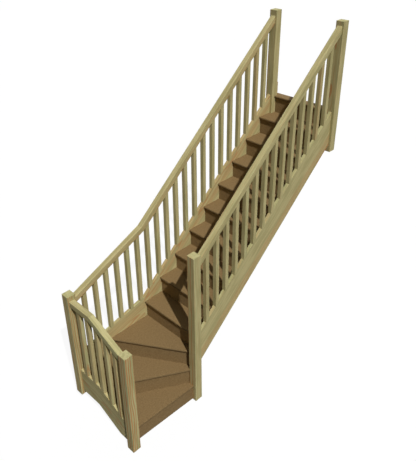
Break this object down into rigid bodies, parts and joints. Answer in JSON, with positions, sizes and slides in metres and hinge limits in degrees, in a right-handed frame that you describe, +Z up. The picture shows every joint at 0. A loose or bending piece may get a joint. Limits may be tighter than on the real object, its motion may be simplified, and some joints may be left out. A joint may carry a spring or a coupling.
{
  "type": "quarter-turn wooden staircase",
  "caption": "Closed-string timber stair that turns a quarter on winders at its foot, with square newels, spindles and plain handrails on both sides.",
  "frame": {"origin": "centre of the inner newel's foot, on the floor", "axes": "+X up the straight flight, +Y from the inner string to the outer string and the way in at the foot, +Z up"},
  "size_m": [3.134, 0.91, 3.5675],
  "materials": {
    "pine": "satin",
    "board": "matte"
  },
  "bodies": {
    "root": {"front_newel": "pine", "corner_newel": "pine", "inner_newel": "pine", "top_left_newel": "pine", "top_right_newel": "pine", "front_string": "pine", "left_winder_string": "pine", "left_string": "pine", "right_string": "pine", "tread_1": "board", "tread_2": "board", "tread_3": "board", "tread_4": "board", "tread_5": "board", "tread_6": "board", "tread_7": "board", "tread_8": "board", "tread_9": "board", "tread_10": "board", "tread_11": "board", "tread_12": "board", "landing_nosing": "board", "riser_1": "board", "riser_2": "board", "riser_3": "board", "riser_4": "board", "riser_5": "board", "riser_6": "board", "riser_7": "board", "riser_8": "board", "riser_9": "board", "riser_10": "board", "riser_11": "board", "riser_12": "board", "riser_13": "board", "glue_blocks": "pine", "front_spindles": "pine", "left_winder_spindles": "pine", "left_spindles": "pine", "right_spindles": "pine", "front_rail_slope": "pine", "front_rail_level": "pine", "left_winder_rail": "pine", "left_rail": "pine", "right_rail": "pine"}
  },
  "joints": []
}
